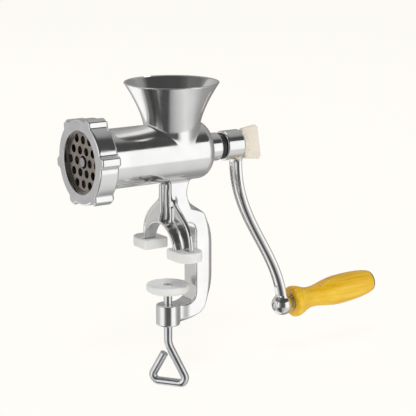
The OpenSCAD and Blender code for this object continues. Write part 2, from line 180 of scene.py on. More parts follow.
def lathe(name, profile, origin, direction, body, sides=96, shape=None):
    """Turns a profile of (station, radius) about a direction. shape may change a point's radius."""
    place = axis_frame(origin, direction)
    verts, faces = [], []
    rows = len(profile)
    for s, r in profile:
        for k in range(sides):
            a = 2 * pi * k / sides
            radius = shape(s, r, a) if shape else r
            verts.append(place @ Vector((radius * cos(a), radius * sin(a), s)))
    for i in range(rows - 1):
        for k in range(sides):
            j = (k + 1) % sides
            faces.append((i * sides + k, i * sides + j, (i + 1) * sides + j, (i + 1) * sides + k))
    obj = new_object(name, verts, faces, body)
    even_normals(obj)
    return obj


def tube(name, path, radii, body, sides=24):
    """Round wire along a path of points, with a radius at each point and flat ends."""
    points = [Vector(p) for p in path]
    verts, faces = [], []
    side = None
    for i, (p, r) in enumerate(zip(points, radii)):
        along = (points[min(i + 1, len(points) - 1)] - points[max(i - 1, 0)]).normalized()
        side = along.orthogonal().normalized() if side is None else side
        side = (side - along * side.dot(along)).normalized()
        other = along.cross(side)
        for k in range(sides):
            a = 2 * pi * k / sides
            verts.append(p + (side * cos(a) + other * sin(a)) * r)
    for i in range(len(points) - 1):
        for k in range(sides):
            j = (k + 1) % sides
            faces.append((i * sides + k, i * sides + j, (i + 1) * sides + j, (i + 1) * sides + k))
    faces.append(tuple(range(sides)))
    faces.append(tuple(range((len(points) - 1) * sides, len(points) * sides)))
    obj = new_object(name, verts, faces, body)
    even_normals(obj)
    return obj


def skin(name, node, field, voxel, body, rounds=3, limit=2.5):
    """A fine skin over a CAD node, moved onto the surface where a field in millimetres is zero."""
    source = frame["nodes"][node]
    copy = bpy.data.objects.new(name, source.data.copy())
    bpy.context.scene.collection.objects.link(copy)
    mod = copy.modifiers.new("grid", "REMESH")
    mod.mode = "VOXEL"
    mod.voxel_size = voxel * MM
    graph = bpy.context.evaluated_depsgraph_get()
    mesh = bpy.data.meshes.new_from_object(copy.evaluated_get(graph))
    bpy.data.objects.remove(copy)
    count = len(mesh.vertices)
    points = np.empty(count * 3)
    mesh.vertices.foreach_get("co", points)
    points = points.reshape(-1, 3) / MM
    edges = np.empty(len(mesh.edges) * 2, int)
    mesh.edges.foreach_get("vertices", edges)
    edges = edges.reshape(-1, 2)
    degree = np.bincount(edges.ravel(), minlength=count)[:, None]
    start = points.copy()
    step = 0.02
    for turn in range(rounds):
        for _ in range(3):
            here = field(points)
            slope = np.stack([(field(points + step * e) - here) / step for e in np.eye(3)], axis=1)
            size = np.maximum((slope ** 2).sum(axis=1), 0.2)
            points -= np.clip(here / size, -0.8, 0.8)[:, None] * slope
        if turn < rounds - 1:
            total = np.zeros_like(points)
            np.add.at(total, edges[:, 0], points[edges[:, 1]])
            np.add.at(total, edges[:, 1], points[edges[:, 0]])
            points = 0.4 * points + 0.6 * total / degree
    away = points - start
    far = np.linalg.norm(away, axis=1, keepdims=True)
    points = start + away * np.minimum(1, limit / np.maximum(far, 1e-9))
    mesh.vertices.foreach_set("co", (points * MM).ravel())
    mesh.update()
    for face in mesh.polygons:
        face.use_smooth = True
    mesh.materials.clear()
    obj = bpy.data.objects.new(name, mesh)
    bpy.context.scene.collection.objects.link(obj)
    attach(obj, body)
    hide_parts(node)
    return obj


# ---------------------------------------------------------------- materials


class Finish:
    """A node material: a Principled surface with helpers for its textures."""

    def __init__(self, name, **sockets):
        self.mat = bpy.data.materials.new(name)
        self.mat.use_nodes = True
        self.nodes, self.links = self.mat.node_tree.nodes, self.mat.node_tree.links
        self.surface = self.nodes["Principled BSDF"]
        self.place = self.nodes.new("ShaderNodeTexCoord").outputs["Object"]
        for key, value in sockets.items():
            self.surface.inputs[key.replace("_", " ")].default_value = value

    def node(self, kind, values=None, **inputs):
        """A node with its properties and inputs set: i2 is the input numbered 2, and an underscore
        in a name is a space. An input may be a value or another node's output."""
        made = self.nodes.new("ShaderNode" + kind)
        for key, value in (values or {}).items():
            setattr(made, key, value)
        for key, value in inputs.items():
            numbered = key[0] == "i" and key[1:].isdigit()
            socket = made.inputs[int(key[1:]) if numbered else key.replace("_", " ")]
            if isinstance(value, bpy.types.NodeSocket):
                self.links.new(value, socket)
            else:
                socket.default_value = value
        return made

    def noise(self, scale, detail=3.0, stretch=(1, 1, 1), turn=(0, 0, 0), rough=0.5):
        """Noise over the object's own coordinates, scale in lumps a metre."""
        mapped = self.node("Mapping", Vector=self.place, Rotation=turn, Scale=stretch).outputs[0]
        made = self.node("TexNoise", Vector=mapped, Scale=scale, Detail=detail, Roughness=rough)
        return made.outputs[0]

    def spread(self, value, low, high, from_low=0.3, from_high=0.7):
        """Maps a texture's value onto a range."""
        made = self.node("MapRange", i0=value, i1=from_low, i2=from_high, i3=low, i4=high)
        return made.outputs[0]

    def ramp(self, value, *stops):
        """Colour ramp: stops are (position, colour)."""
        made = self.node("ValToRGB", i0=value)
        points = made.color_ramp.elements
        while len(points) < len(stops):
            points.new(0.5)
        for point, (at, colour) in zip(points, stops):
            point.position, point.color = at, (*colour, 1)
        return made.outputs[0]

    def bumps(self, *layers):
        """Stacks bump layers: (height, distance in metres, strength)."""
        normal = None
        for height, distance, strength in layers:
            made = self.node("Bump", i0=strength, i1=distance)
            self.links.new(height, made.inputs["Height"])
            if normal:
                self.links.new(normal, made.inputs["Normal"])
            normal = made.outputs[0]
        self.links.new(normal, self.surface.inputs["Normal"])

    def drive(self, socket, value):
        """Feeds a texture into one of the surface's sockets."""
        self.links.new(value, self.surface.inputs[socket])
        return self


def polished_casting():
    """Tumble-polished aluminium: bright, with faint orange peel, haze and hairline scratches."""
    f = Finish("polished_casting", Metallic=1.0)
    dull, bright = (0.80, 0.795, 0.79), (0.87, 0.865, 0.86)
    f.drive("Base Color", f.ramp(f.noise(60, 4), (0.3, dull), (0.7, bright)))
    f.drive("Roughness", f.spread(f.noise(140, 5), 0.07, 0.17))
    peel, hairlines, waves = f.noise(220, 2), f.noise(2600, 2, (1, 1, 0.06)), f.noise(30, 1)
    f.bumps((peel, 0.00004, 0.35), (hairlines, 0.000006, 0.25), (waves, 0.0003, 0.12))
    return f.mat


def machined_face():
    """Turned satin face of the ring nut, with its fine circular tool marks about the barrel."""
    f = Finish("machined_face", Metallic=1.0)
    parts = f.node("SeparateXYZ", i0=f.place).outputs
    height = f.node("Math", {"operation": "SUBTRACT"}, i0=parts[2], i1=barrel_z * MM).outputs[0]
    flat = f.node("CombineXYZ", i0=parts[1], i1=height).outputs[0]
    radius = f.node("VectorMath", {"operation": "LENGTH"}, i0=flat).outputs["Value"]
    lines = f.node("CombineXYZ", i0=radius).outputs[0]
    marks = f.node("TexNoise", Vector=lines, Scale=2600.0, Detail=2.0).outputs[0]
    dark, light = (0.66, 0.66, 0.67), (0.78, 0.78, 0.79)
    f.drive("Base Color", f.ramp(f.noise(90, 3), (0.3, dark), (0.7, light)))
    f.drive("Roughness", f.spread(marks, 0.3, 0.46))
    f.bumps((marks, 0.00002, 0.4), (f.noise(900, 3), 0.00001, 0.3))
    return f.mat


def ground_steel(name, dark, light, low=0.28, high=0.45):
    """Ground steel with parallel grinding lines and faint stains."""
    f = Finish(name, Metallic=1.0)
    stain = f.noise(110, 5)
    lines = f.noise(1500, 2, (1, 0.05, 1), (radians(24), 0, 0))
    f.drive("Base Color", f.ramp(stain, (0.3, dark), (0.72, light)))
    f.drive("Roughness", f.spread(lines, low, high))
    f.bumps((lines, 0.00002, 0.4), (f.noise(500, 3), 0.00002, 0.25))
    return f.mat


def zinc_steel():
    """Bright zinc plate with a faint cloudiness."""
    f = Finish("zinc_steel", Metallic=1.0)
    dark, light = (0.66, 0.67, 0.68), (0.80, 0.80, 0.81)
    f.drive("Base Color", f.ramp(f.noise(160, 4), (0.3, dark), (0.7, light)))
    f.drive("Roughness", f.spread(f.noise(300, 4), 0.12, 0.24))
    f.bumps((f.noise(500, 2), 0.00001, 0.15), (f.noise(90, 2), 0.00008, 0.10))
    return f.mat


def moulded_plastic(name, dark, light, rough=0.42, translucence=0.15):
    """Moulded plastic: soft tone changes, a fine mould texture and a little light inside."""
    f = Finish(name, Subsurface_Weight=translucence, Subsurface_Scale=0.002, IOR=1.5)
    f.surface.inputs["Subsurface Radius"].default_value = (1.0, 0.9, 0.8)
    f.drive("Base Color", f.ramp(f.noise(70, 4), (0.3, dark), (0.7, light)))
    f.drive("Roughness", f.spread(f.noise(400, 4), rough - 0.06, rough + 0.08))
    f.bumps((f.noise(1800, 3), 0.00003, 0.4), (f.noise(45, 2), 0.0002, 0.1))
    return f.mat


def varnished_wood():
    """Yellow-varnished wood with its grain along the grip and a glossy coat."""
    f = Finish("varnished_wood", Coat_Weight=0.30, Coat_Roughness=0.22, IOR=1.45)
    tilt = atan2(spindle_dir[2], spindle_dir[0])
    grain = f.noise(420, 6, (0.035, 1, 1), (0, tilt, 0), 0.6)
    pores = f.noise(2200, 3, (0.03, 1, 1), (0, tilt, 0), 0.7)
    cloud = f.noise(55, 3, (0.35, 1, 1), (0, tilt, 0))
    mixed = f.node("Mix", {"data_type": "FLOAT"}, i0=0.45, i2=grain, i3=cloud).outputs[0]
    dark, middle, light = (0.72, 0.33, 0.006), (0.90, 0.52, 0.010), (0.97, 0.66, 0.05)
    f.drive("Base Color", f.ramp(mixed, (0.34, dark), (0.5, middle), (0.66, light)))
    f.drive("Roughness", f.spread(pores, 0.30, 0.46))
    f.bumps((pores, 0.00006, 0.3), (grain, 0.00008, 0.2))
    return f.mat


finishes = {
    "polished_casting": polished_casting(),
    "machined_face": machined_face(),
    "plate_steel": ground_steel("plate_steel", (0.30, 0.265, 0.235), (0.44, 0.40, 0.36)),
    "cutter_steel": ground_steel("cutter_steel", (0.42, 0.42, 0.42), (0.58, 0.58, 0.59)),
    "zinc_steel": zinc_steel(),
    "white_plastic": moulded_plastic("white_plastic", (0.80, 0.81, 0.80), (0.88, 0.885, 0.88)),
    "ivory_plastic": moulded_plastic("ivory_plastic", (0.80, 0.73, 0.62), (0.87, 0.81, 0.71),
                                     rough=0.5),
    "black_nylon": moulded_plastic("black_nylon", (0.010, 0.010, 0.011), (0.022, 0.022, 0.024),
                                   rough=0.4, translucence=0.0),
    "varnished_wood": varnished_wood(),
    "dark_cap": moulded_plastic("dark_cap", (0.018, 0.028, 0.022), (0.035, 0.048, 0.040),
                                rough=0.35, translucence=0.0),
}


def paint(obj, *names):
    """Gives an object its materials, the first on every face."""
    obj.data.materials.clear()
    for name in names:
        obj.data.materials.append(finishes[name])
    return obj


# ---------------------------------------------------------------- the casting

barrel_r, bore_r = 21.3, 19.0
barrel_mid_x, barrel_half = -15, 45.5
collar_r, collar_l = 26.8, 10.1
seat_r, seat_d = 24.8, 8.1
chamber_end_x = 27.3
neck_r, neck_l, bush_hole_r = 10.3, 18, 8.6
boss_r, rod_hole_r = 8.7, 3.2
frame_half, arm_half = 8.4, 6.4
throat_x, column_x = 19.3, 35.0
web_x = -2.4
wing_x0, wing_x1, flange_x = -1.4, 1.8, -8.0
boss_top_z = -38.8
foot_z = 3.4
arch_r, arch_z, flange_t = 20.0, 2.7, 2.2
wall = 2.0
throat_r = 19.7
flare_z = barrel_z + 15

c_outline = joined(
    bezier((20, 58), (6, 45), (12, 38.5), (21, 32.6), 10),
    bezier((21, 32.6), (29.6, 26.6), (column_x, 18), (column_x, 4), 10),
    bezier((column_x, -18), (column_x, -41), (22, -53.4), (2, boss_low_z + 0.8), 14),
    (0, boss_top_z - 0.8),
    bezier((10, boss_top_z - 0.3), (16.5, boss_top_z), (throat_x, -36.5), (throat_x, -29), 8),
    bezier((throat_x, 14.5), (throat_x, 19), (17, 21.8), (12.5, 21.8), 8),
    [(web_x, 22.9), (web_x, 62)])
leg_top_z, foot_y = 47, 33
leg_rim, panel_depth, panel_top_z = 2.2, 0.6, 36
fin_half = 1.7
leg_edge = bezier((6.4, leg_top_z), (7.6, 33), (35, 31.5), (foot_y, 6), 16)
leg_outline = joined((0, leg_top_z), leg_edge, [(foot_y, foot_z), (-foot_y, foot_z)],
                     leg_edge[::-1] * (-1, 1))
fin_top_z = arch_z + arch_r + flange_t
fin_outline = np.array([(-6.3, 60), (-6.3, 31), (flange_x, fin_top_z + 1.5), (flange_x, fin_top_z - 1),
                        (0, fin_top_z - 1), (0, 60)], float)


def hopper_wall(z):
    """Radius of the hopper's outside at a height, and its slope."""
    span = rim_z - flare_z
    t = np.clip((z - flare_z) / span, 0, 1.2)
    return throat_r + (hopper_r - throat_r) * t ** 1.6, (hopper_r - throat_r) * 1.6 * t ** 0.6 / span


def c_frame(x, y, z):
    """The web, column and lower arm. The outer edges are rounder than those of the throat."""
    outer = np.maximum(np.maximum(x - 26.6, -z - 46.8), np.minimum(x - 12, z - 28))
    edge = 1.0 + 4.6 * np.clip(outer / 4, 0, 1)
    narrow = np.clip((16 - x) / 10, 0, 1) * (z < -34)
    half = frame_half - (frame_half - arm_half) * narrow * narrow * (3 - 2 * narrow)
    return prism(to_polygon(x, z, c_outline), y, half, edge)


def legs(x, y, z):
    """The wing plate, sunk a little inside its rim, the flange round the arch and the fin in front."""
    from_arch = np.hypot(y, z - arch_z)
    flat = to_polygon(y, z, leg_outline)
    mid, half = (wing_x0 + wing_x1) / 2, (wing_x1 - wing_x0) / 2
    wing = prism(flat, x - mid, half, 1.3)
    panel = np.maximum.reduce([flat + leg_rim, arch_r + flange_t + 1.2 - from_arch,
                               x - wing_x0 - panel_depth, z - panel_top_z])
    wing = cut(wing, panel, 0.5)
    band = np.abs(from_arch - arch_r - flange_t / 2) - flange_t / 2
    flange = prism(band, x - flange_x / 2, -flange_x / 2, 0.7)
    flange = np.maximum(flange, foot_z - z)
    fin = prism(to_polygon(x, z, fin_outline), y, fin_half, 1.1)
    both = blend(blend(wing, flange, 1.6), fin, 1.4)
    return np.maximum(both, arch_r - from_arch)


def casting_field(p):
    """The whole casting: barrel, neck and hopper, blended into the frame and then bored out."""
    x, y, z = p.T
    rho = np.hypot(y, z - barrel_z)
    from_hopper = np.hypot(x - hopper_x, y)
    round_end = np.where(x > 0, 8.0, 0.6)
    barrel = prism(rho - barrel_r, x - barrel_mid_x, barrel_half, round_end)
    neck = prism(rho - neck_r, x - (neck_x - neck_l / 2), neck_l / 2, 0.7)
    radius, slope = hopper_wall(z)
    rim = np.maximum(z - rim_z, barrel_z + 2 - z)
    hopper = np.maximum((from_hopper - radius) / np.hypot(1, slope), rim)
    body = blend(blend(barrel, neck, 1.2), hopper, 1.2)
    boss_mid_z, boss_half = (boss_low_z + boss_top_z) / 2, (boss_top_z - boss_low_z) / 2
    boss = prism(np.hypot(x, y) - boss_r, z - boss_mid_z, boss_half, 0.9)
    web = blend(blend(c_frame(x, y, z), legs(x, y, z), 2.2), boss, 1.4)
    solid = blend(body, web, 2.4)
    collar = prism(rho - collar_r, x - (mouth_x + collar_l / 2), collar_l / 2, 0.4)
    solid = np.minimum(solid, collar)
    inside = np.maximum((from_hopper - radius + wall) / np.hypot(1, slope), barrel_z - z)
    solid = cut(solid, inside, 0.8)
    solid = np.maximum(solid, -np.maximum(rho - seat_r, x - (mouth_x + seat_d)))
    solid = np.maximum(solid, -np.maximum(rho - bore_r, x - chamber_end_x))
    solid = np.maximum(solid, bush_hole_r - rho)
    return np.maximum(solid, -np.maximum(np.hypot(x, y) - rod_hole_r, z + 36))


casting = skin("casting", "cast_body", casting_field, 0.6, "frame")
paint(casting, "polished_casting")

# ---------------------------------------------------------------- outlet

ring_x = ring_low[0]
ring_w = ring_high[0] - ring_low[0]
ring_r, lug_tip_r = 30.2, 33.4
lug_first, lug_step = radians(22), pi / 3
lug_half_w, lug_flank = 2.5, 1.83
nut_bore_r, outlet_r, lip = 26.86, 22.5, 3.2
plain_r = 28


def ring_reach(s, r, a):
    """Radius of the ring nut's outside with its lugs; all within plain_r stays round."""
    if r < plain_r:
        return r
    off = abs((a - lug_first + lug_step / 2) % lug_step - lug_step / 2)
    flank = (lug_tip_r + lug_half_w * lug_flank) / (cos(off) + lug_flank * sin(off))
    lug = min(lug_tip_r / cos(off), flank)
    k = 0.9
    h = min(max(0.5 + 0.5 * (lug - ring_r) / k, 0), 1)
    reach = ring_r * (1 - h) + lug * h + k * h * (1 - h)
    return min(reach, lug_tip_r) - (ring_r - r)


ring_profile = filleted(
    [(lip, nut_bore_r), (lip, outlet_r), (0, outlet_r), (0, 26), (0, ring_r - 1.1),
     (0.45, ring_r - 0.25), (1.3, ring_r), (ring_w - 1.3, ring_r), (ring_w, ring_r - 1.2),
     (ring_w, 28.1), (ring_w, nut_bore_r), (lip, nut_bore_r)],
    [0, 0.5, 0.5, 0, 0.4, 0.4, 0.4, 0.6, 0.6, 0, 0.4, 0], 3)
ring = lathe("ring", ring_profile, (ring_x, 0, barrel_z), (1, 0, 0), "ring", 360,
             ring_reach)
paint(ring, "polished_casting", "machined_face")
for face in ring.data.polygons:
    if face.normal.x < -0.93:
        face.material_index = 1
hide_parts("ring_nut")

# ---------------------------------------------------------------- feed screw

flight_r, pitch = bore_r - 0.8, 25.0
core_r, core_end_x = 8, 22.85
journal_r, journal_mid_x, journal_half = 7, 35.4, 10.6
front_square_half, drive_square_half = 4.5, 5
pin_hole_r, stud_hole_r = 3.3, 3.06
feed_low, feed_high = box_mm("feed_screw")
_, blade_high = box_mm("cutter_blade")
front_x = blade_high[0] + 0.15
flight_x0, flight_x1 = front_x + 2, 23.8
hub_x0, hub_x1 = 46.2, 61.2


def feed_field(p):
    """The feed screw: core, flight, flange, journal and its two squares, with a hole in each end."""
    x, y, z = p.T
    z = z - barrel_z
    rho = np.hypot(y, z)
    turn = np.arctan2(y, -z) / (2 * pi) * pitch - (x - flight_x0)
    along = np.mod(turn + 10.35, pitch) - 12.5
    lean = np.hypot(1, pitch / (2 * pi * np.maximum(rho, 6)))
    thick = (np.abs(along) - 2.15 + 0.35 * (rho - 13) / 6) / lean
    ends = np.maximum(flight_x0 - x, x - flight_x1)
    flight = np.maximum(np.maximum(thick, rho - flight_r), ends)
    core = prism(rho - core_r, x - (front_x + core_end_x) / 2, (core_end_x - front_x) / 2, 0.6)
    screw = blend(core, flight, 2.2)
    screw = np.minimum(screw, prism(rho - (bore_r - 0.4), x - 23.9, 2.0, 0.4))
    screw = np.minimum(screw, prism(rho - journal_r, x - journal_mid_x, journal_half, 0.3))
    square = np.maximum(np.abs(y), np.abs(z))
    front = np.maximum(feed_low[0] - x, x - front_x - 1)
    screw = np.minimum(screw, np.maximum(square - front_square_half, front))
    drive = np.maximum(hub_x0 - 0.3 - x, x - feed_high[0])
    screw = np.minimum(screw, np.maximum(square - drive_square_half, drive))
    screw = np.maximum(screw, -np.maximum(rho - pin_hole_r, x - front_x - 14))
    return np.maximum(screw, -np.maximum(rho - stud_hole_r, hub_x1 - 18 - x))


# ---------------------------------------------------------------- crank

arm_top_w, arm_low_w, arm_t = 12.6, 10.4, 5.8
ball_r, ball_s = 8.2, 0.6
stem_r, washer_s = 5.5, 7.9
hub_r, hub_square_half, spindle_hole_r = 11, 5.1, 3.0
groove_half, groove_depth = 2.1, 1.1
arm_line = bezier((59.3, barrel_z), (51.5, barrel_z - 56.3), (ball[0] - 4.2, barrel_z - 80.5),
                  (ball[0], ball[2]), 36)


def beside_line(x, z, line):
    """Distance to an open line, positive on its left and negative on its right."""
    near = np.full(x.shape, 1e18)
    side = np.ones(x.shape)
    for (ax, az), (bx, bz) in zip(line[:-1], line[1:]):
        ex, ez = bx - ax, bz - az
        t = np.clip(((x - ax) * ex + (z - az) * ez) / (ex * ex + ez * ez), 0, 1)
        gap = (x - ax - t * ex) ** 2 + (z - az - t * ez) ** 2
        closer = gap < near
        near = np.where(closer, gap, near)
        side = np.where(closer, np.sign(ex * (z - az) - ez * (x - ax) + 1e-12), side)
    return side * np.sqrt(near)


def crank_field(p):
    """The crank: hub, S-shaped arm with a groove down its inner face, ball and stem."""
    x, y, z = p.T
    rho = np.hypot(y, z - barrel_z)
    hub = prism(rho - hub_r, x - (hub_x0 + hub_x1) / 2, (hub_x1 - hub_x0) / 2, 1.2)
    down = np.clip((barrel_z + 1 - z) / (barrel_z + 2 - ball[2]), 0, 1)
    half = (arm_top_w + (arm_low_w - arm_top_w) * down) / 2
    side = beside_line(x, z, arm_line)
    narrowing = 0.45 * np.clip(-side, 0, 3)
    arm = prism(np.abs(side) - arm_t / 2, y, half - narrowing, np.where(side < 0, 2.9, 1.3))
    arm = np.where(z > 62, np.maximum(arm, x - hub_x1 + 0.3), arm)
    away = p - ball
    along = away @ spindle_dir
    from_axis = np.sqrt(np.maximum((away ** 2).sum(axis=1) - along ** 2, 0))
    knob = np.hypot(from_axis, along - ball_s) - ball_r
    stem = np.maximum(from_axis - stem_r, np.maximum(-along, along - washer_s))
    crank = blend(blend(hub, arm, 3.0), np.minimum(knob, stem), 1.6)
    crank = np.maximum(crank, np.where(from_axis < 12, along - washer_s, -99))
    under_face = -np.abs(side) * (side < 0) + arm_t / 2 - groove_depth + 20 * (side > 0)
    groove = np.maximum.reduce([under_face, np.abs(y) - groove_half, z - barrel_z + 16,
                                ball[2] + 15 - z])
    crank = cut(crank, groove, 0.6)
    crank = np.maximum(crank, hub_square_half - np.maximum(np.abs(y), np.abs(z - barrel_z)))
    return np.maximum(crank, np.where(z < 0, spindle_hole_r - from_axis, -99))


thumb_x = hub_x1 + 1.35
thumb_collar_r, thumb_collar_half = 6.4, 2.45
wing_x, wing_l, wing_w, wing_t, wing_turn = thumb_x + 1.9, 14.6, 25.4, 4.6, radians(-11)
wing_outline = np.array([(wing_x, -wing_w / 2 + 2.5), (wing_x + 1, -wing_w / 2 + 1.5),
                         (wing_x + wing_l - 2, -wing_w / 2), (wing_x + wing_l, -wing_w / 2 + 2),
                         (wing_x + wing_l, wing_w / 2 - 2), (wing_x + wing_l - 2, wing_w / 2),
                         (wing_x + 1, wing_w / 2 - 1.5), (wing_x, wing_w / 2 - 2.5)])


def thumb_field(p):
    """The thumb screw's wing on its collar, with the hole for the stud."""
    x, y, z = p.T
    z = z - barrel_z
    rho = np.hypot(y, z)
    across = y * cos(wing_turn) + z * sin(wing_turn)
    up = z * cos(wing_turn) - y * sin(wing_turn)
    wing = prism(to_polygon(x, up, wing_outline), across, wing_t / 2, 1.0)
    collar = prism(rho - thumb_collar_r, x - thumb_x - thumb_collar_half, thumb_collar_half, 0.6)
    head = blend(wing, collar, 1.5)
    return np.maximum(head, -np.maximum(rho - 3, x - thumb_x - 7))


# ---------------------------------------------------------------- pads


def pad_outline():
    """The pad from above, on the +Y side: nearly square inside and half round outside."""
    x0, x1, y0, y1 = pad_low[0], pad_high[0], -pad_high[1], -pad_low[1]
    inner_r, outer_r = 3, 9.8
    corners = ((x1 - inner_r, y0 + inner_r, inner_r, -90), (x1 - outer_r, y1 - outer_r, outer_r, 0),
               (x0 + outer_r, y1 - outer_r, outer_r, 90), (x0 + inner_r, y0 + inner_r, inner_r, 180))
    outline = []
    for cx, cy, r, first in corners:
        for k in range(9):
            a = radians(first + 90 * k / 8)
            outline.append((cx + r * cos(a), cy + r * sin(a)))
    return np.array(outline)


pad_line = pad_outline()


def pad_field(p):
    """Either pad, with the pocket that takes the foot's flange and wing."""
    x, y, z = p.T
    y = np.abs(y)
    pad = prism(to_polygon(x, y, pad_line), z - pad_high[2] / 2, pad_high[2] / 2, 0.8)
    gap = 0.1
    behind = x - wing_x1 - gap
    toe = np.maximum(np.abs(y - (arch_r + 0.7)) - 1.6, np.maximum(flange_x - gap - x, behind))
    across = np.maximum(arch_r - y, y - foot_y - gap)
    heel = np.maximum(across, np.maximum(wing_x0 - gap - x, behind))
    return cut(pad, np.maximum(np.minimum(toe, heel), foot_z - z), 0.3)


for name, node, field, voxel, body, finish in (
        ("feed_worm", "feed_screw", feed_field, 0.6, "crank", "polished_casting"),
        ("crank", "crank_arm", crank_field, 0.5, "crank", "polished_casting"),
        ("thumb_wing", "thumb_screw_head", thumb_field, 0.4, "thumb_screw", "ivory_plastic"),
        ("near_pad", "near_table_pad", pad_field, 0.4, "frame", "white_plastic"),
        ("far_pad", "far_table_pad", pad_field, 0.4, "frame", "white_plastic")):
    paint(skin(name, node, field, voxel, body), finish)

# ---------------------------------------------------------------- grip and its spindle

grip_s = 9.1
grip_l, grip_r, waist_r, flange_r = 74.6, 11.35, 8.0, 11.9
grip_bore_r, head_bore_r, head_d = 3.06, 5.3, 6.2
groove_s, groove_w, groove_r = 5.0, 0.55, 0.45


def turned(*curve):
    """Stations and radii along a Bezier curve given as (radius, station)."""
    return [(s, r) for r, s in bezier(*curve)]


grip_profile = [(grip_l - head_d, grip_bore_r), (grip_l - head_d, head_bore_r),
                (grip_l - 0.3, head_bore_r), (grip_l, 5.7), (grip_l, 8.4)]
grip_profile += turned((8.45, grip_l), (grip_r - 1, grip_l - 5), (grip_r, 59), (grip_r, 47), 18)
grip_profile += turned((grip_r, 45), (grip_r, 34), (waist_r + 0.2, 26), (waist_r, 20), 14)
for s, r in turned((waist_r, 17.5), (waist_r, 11), (flange_r, 7), (flange_r, 3), 30):
    grip_profile.append((s, r - groove_r * np.exp(-((s - groove_s) / groove_w) ** 2)))
grip_profile += turned((flange_r, 2), (flange_r, 0.8), (flange_r - 0.2, 0), (flange_r - 1.4, 0), 6)
grip_profile += [(0.0, 8.5), (0.0, 6.4), (0.5, 5.9), (0.6, 3.5), (0.6, grip_bore_r),
                 (grip_l - head_d, grip_bore_r)]
grip_profile = [(max(s, 0.0), r) for s, r in grip_profile]


def on_spindle(s):
    """A point along the spindle from the ball's centre, in millimetres."""
    return ball + spindle_dir * s


grip = lathe("grip", grip_profile, on_spindle(grip_s), spindle_dir, "grip", 96)
paint(grip, "varnished_wood")
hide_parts("wooden_grip")

cap_profile = filleted(
    [(-3, 0.01), (-3, 5.3), (0, 5.3), (0.02, 8.3), (0.7, 8.25), (1.7, 7.4), (1.7, 3.4), (1.2, 2.4),
     (1.2, 0.01)],
    [0, 0.4, 0, 0.1, 0.4, 0.6, 0.5, 0.5, 0], 4)
cap = lathe("end_cap", cap_profile, on_spindle(grip_s + grip_l), spindle_dir, "grip", 64)
paint(cap, "dark_cap")
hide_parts("grip_end_cap")

head_s = grip_s + grip_l - 6
spindle_low = ball_s - ball_r + 1.2
shaft_r, head_r, head_t = 3.0, 5.0, 2
spindle_profile = filleted(
    [(spindle_low + 0.5, 0.01), (spindle_low, 1.4), (spindle_low, 2.5), (spindle_low + 0.5, shaft_r),
     (head_s, shaft_r), (head_s, head_r), (head_s + head_t, head_r), (head_s + head_t, 0.01)],
    [0, 0.3, 0.3, 0.3, 0, 0.3, 0.5, 0], 4)
spindle = lathe("spindle", spindle_profile, on_spindle(0), spindle_dir, "crank", 48)
paint(spindle, "zinc_steel")
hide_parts("handle_spindle")

# ---------------------------------------------------------------- clamp

dimple_r, dimple_d = 3.4, 1.6
disc_r, disc_t = (disc_high[0] - disc_low[0]) / 2, disc_high[2] - disc_low[2]
low_chamfer, top_chamfer = 1.8, 0.7
tip_r, rod_r = 1.9, 3.1
disc_profile = filleted(
    [(0, tip_r + 0.06), (0, 5), (0, disc_r - low_chamfer), (low_chamfer, disc_r),
     (disc_t - top_chamfer, disc_r), (disc_t, disc_r - top_chamfer), (disc_t, disc_r - 2.2),
     (disc_t - 0.35, disc_r - 3.0), (disc_t - 0.5, 6), (disc_t - 0.5, dimple_r + 0.3),
     (disc_t - dimple_d, dimple_r), (disc_t - dimple_d, tip_r + 0.06), (0, tip_r + 0.06)],
    [0, 0, 0.4, 0.4, 0.4, 0.4, 0.4, 0.6, 0, 0.3, 0.3, 0, 0], 4)
disc = lathe("clamp_foot_disc", disc_profile, (0, 0, disc_low[2]), (0, 0, 1), "clamp_foot",
             128)
paint(disc, "white_plastic")
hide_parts("clamp_disc")


def arc_corner(a, b, c, r, steps):
    """Rounds the corner b between a and c with an arc of radius r."""
    a, b, c = (np.array(p, float) for p in (a, b, c))
    u, v = (a - b) / np.linalg.norm(a - b), (c - b) / np.linalg.norm(c - b)
    half = np.arccos(np.clip(u @ v, -1, 1)) / 2
    middle = (u + v) / np.linalg.norm(u + v)
    centre = b + middle * r / sin(half)
    start, end = b + u * r / np.tan(half) - centre, b + v * r / np.tan(half) - centre
    a0 = atan2(start[1], start[0])
    sweep = (atan2(end[1], end[0]) - a0 + pi) % (2 * pi) - pi
    angles = [a0 + sweep * k / steps for k in range(steps + 1)]
    return [centre + r * np.array((cos(a), sin(a))) for a in angles]


handle_turn, bend_z, handle_z = radians(-54), -69.0, -98.2
handle_w, handle_shift = 31.4, 0.6
corners = [(0, -40), (0, bend_z), (handle_w / 2 + handle_shift, handle_z),
           (-handle_w / 2 + handle_shift, handle_z), (-3, bend_z - 7.3)]
shoulder_z = disc_low[2] - 0.15
wire = [(0, disc_high[2] - dimple_d + 0.9), (0, shoulder_z + 0.01), (0, shoulder_z),
        (0, shoulder_z - 0.75), (0, -40), (0, -54), (0, -61)]
sizes_along = [tip_r, tip_r, rod_r - 0.6, rod_r, rod_r, rod_r, rod_r - 0.05]
for a, b, c, r in zip(corners, corners[1:], corners[2:], (14, 4.4, 4.4)):
    bend = arc_corner(a, b, c, r, 14)
    wire += [tuple(p) for p in bend]
    sizes_along += [rod_r - 0.1] * len(bend)
end = np.array(corners[-1])
back_from_end = np.array(corners[-2]) - end
back_from_end /= np.linalg.norm(back_from_end)
wire += [tuple(end + back_from_end * 0.25), tuple(end)]
sizes_along += [rod_r - 0.1, rod_r - 0.35]
path = [(u * cos(handle_turn), u * sin(handle_turn), z) for u, z in wire]
clamp_wire = tube("clamp_rod", path, sizes_along, "clamp_spindle", 32)
paint(clamp_wire, "zinc_steel")
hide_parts("clamp_screw")

# ---------------------------------------------------------------- carried-over CAD nodes

